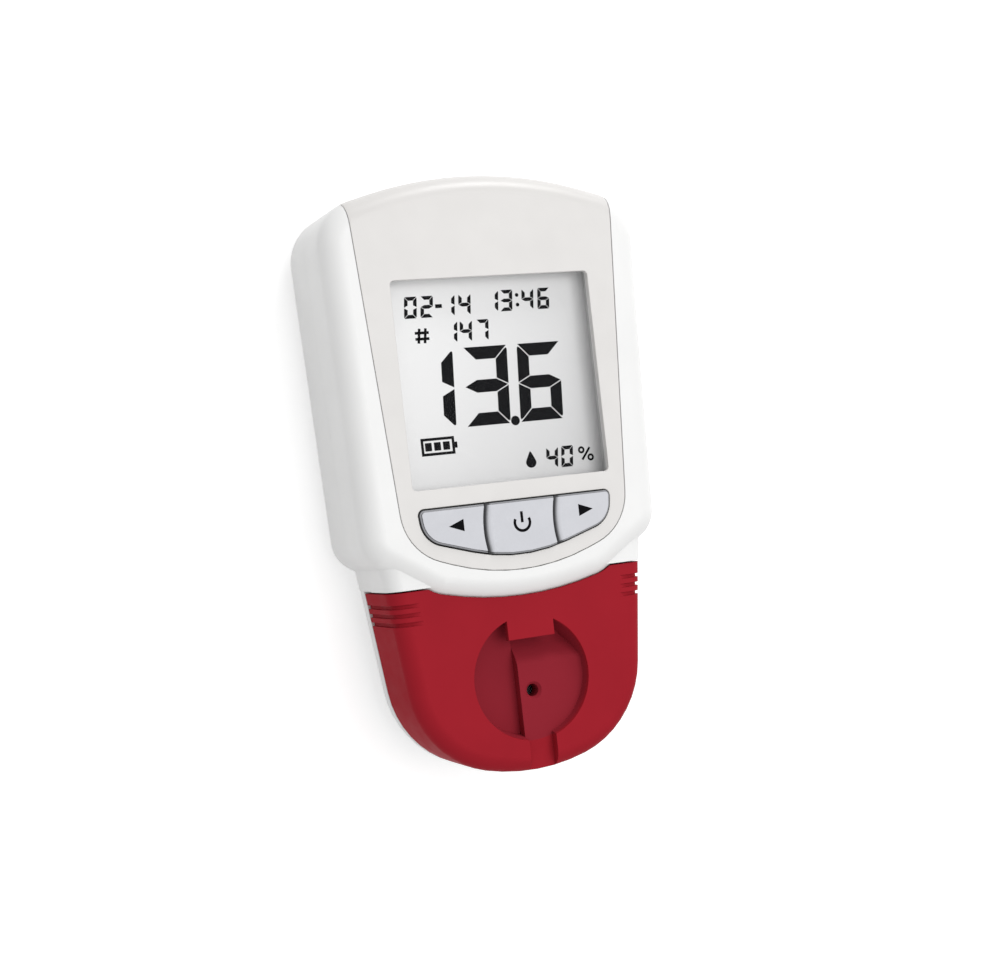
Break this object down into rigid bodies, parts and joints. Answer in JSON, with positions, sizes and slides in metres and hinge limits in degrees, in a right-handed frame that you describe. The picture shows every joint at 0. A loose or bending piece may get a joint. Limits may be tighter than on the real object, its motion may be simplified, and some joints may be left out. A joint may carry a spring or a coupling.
{
  "type": "hemoglobin meter",
  "caption": "Hand-held blood meter with an arched white shell, recessed display, grey keys and a red test strip holder with a round recess.",
  "frame": {"origin": "middle of the object in plan, on the table under its rubber feet", "axes": "+Z out of the display, +Y from the strip end to the arched display end, +X to the right as the display is read"},
  "size_m": [0.0622, 0.1094, 0.0245],
  "materials": {
    "shell": "satin white",
    "shell_back": "satin white",
    "plate": "fine matt light grey",
    "window": "clear hard-coated plastic",
    "foam": "soft black foam",
    "lcd": "pale grey display",
    "frame": "plain",
    "elastomer": "pink silicone",
    "board": "green solder mask",
    "chip": "black moulded",
    "buzzer": "black",
    "parts": "ceramic chips",
    "silicone": "translucent grey",
    "keys": "satin lavender grey",
    "red_plastic": "satin dark red",
    "deck": "plain",
    "optics": "matt black",
    "clear_disc": "clear",
    "emitters": "clear yellowish",
    "flat_cable": "polymer film",
    "connectors": "plain ivory",
    "cell": "plain blue sleeve",
    "contact_metal": "nickel plated",
    "door": "satin white",
    "socket_metal": "plated sheet",
    "code_key": "blue",
    "screws": "zinc plated",
    "rubber": "matt black"
  },
  "bodies": {
    "meter": {"front_housing": "shell", "rear_housing": "shell_back", "fascia_plate": "plate", "display_window": "window", "display_gasket": "foam", "lcd_glass": "lcd", "lcd_frame": "frame", "contact_strips": "elastomer", "main_board": "board", "microcontroller": "chip", "buzzer": "buzzer", "board_components": "parts", "keypad_mat": "silicone", "sensor_deck": "deck", "optics_block": "optics", "sensor_window": "clear_disc", "light_emitters": "emitters", "photodiode": "chip", "sensor_board": "board", "sensor_ribbon": "flat_cable", "ribbon_connectors": "connectors", "battery_left": "cell", "battery_middle": "cell", "battery_right": "cell", "battery_contacts": "contact_metal", "battery_springs": "contact_metal", "usb_socket": "socket_metal", "code_socket": "chip", "housing_screws": "screws", "board_screws": "screws", "deck_screws": "screws", "rubber_feet": "rubber"},
    "left_button": {"left_button": "keys"},
    "power_button": {"power_button": "keys"},
    "right_button": {"right_button": "keys"},
    "strip_holder": {"strip_channel": "red_plastic"},
    "battery_door": {"battery_door": "door"},
    "code_key": {"code_key": "code_key"}
  },
  "joints": [
    {"name": "left_button_press", "type": "slide", "parent": "meter", "child": "left_button", "axis": [0, 0, -1], "range_m": [0, 0.0005], "stiffness_N_per_m": 400, "springref_m": -0.0005},
    {"name": "power_button_press", "type": "slide", "parent": "meter", "child": "power_button", "axis": [0, 0, -1], "range_m": [0, 0.0005], "stiffness_N_per_m": 400, "springref_m": -0.0005},
    {"name": "right_button_press", "type": "slide", "parent": "meter", "child": "right_button", "axis": [0, 0, -1], "range_m": [0, 0.0005], "stiffness_N_per_m": 400, "springref_m": -0.0005},
    {"name": "strip_holder_lift", "type": "slide", "parent": "meter", "child": "strip_holder", "axis": [0, 0, 1], "range_m": [0, 0.014]},
    {"name": "battery_door_slide", "type": "slide", "parent": "meter", "child": "battery_door", "axis": [0, 1, 0], "range_m": [0, 0.045]},
    {"name": "code_key_pull", "type": "slide", "parent": "meter", "child": "code_key", "axis": [1, 0, 0], "range_m": [0, 0.012]}
  ]
}
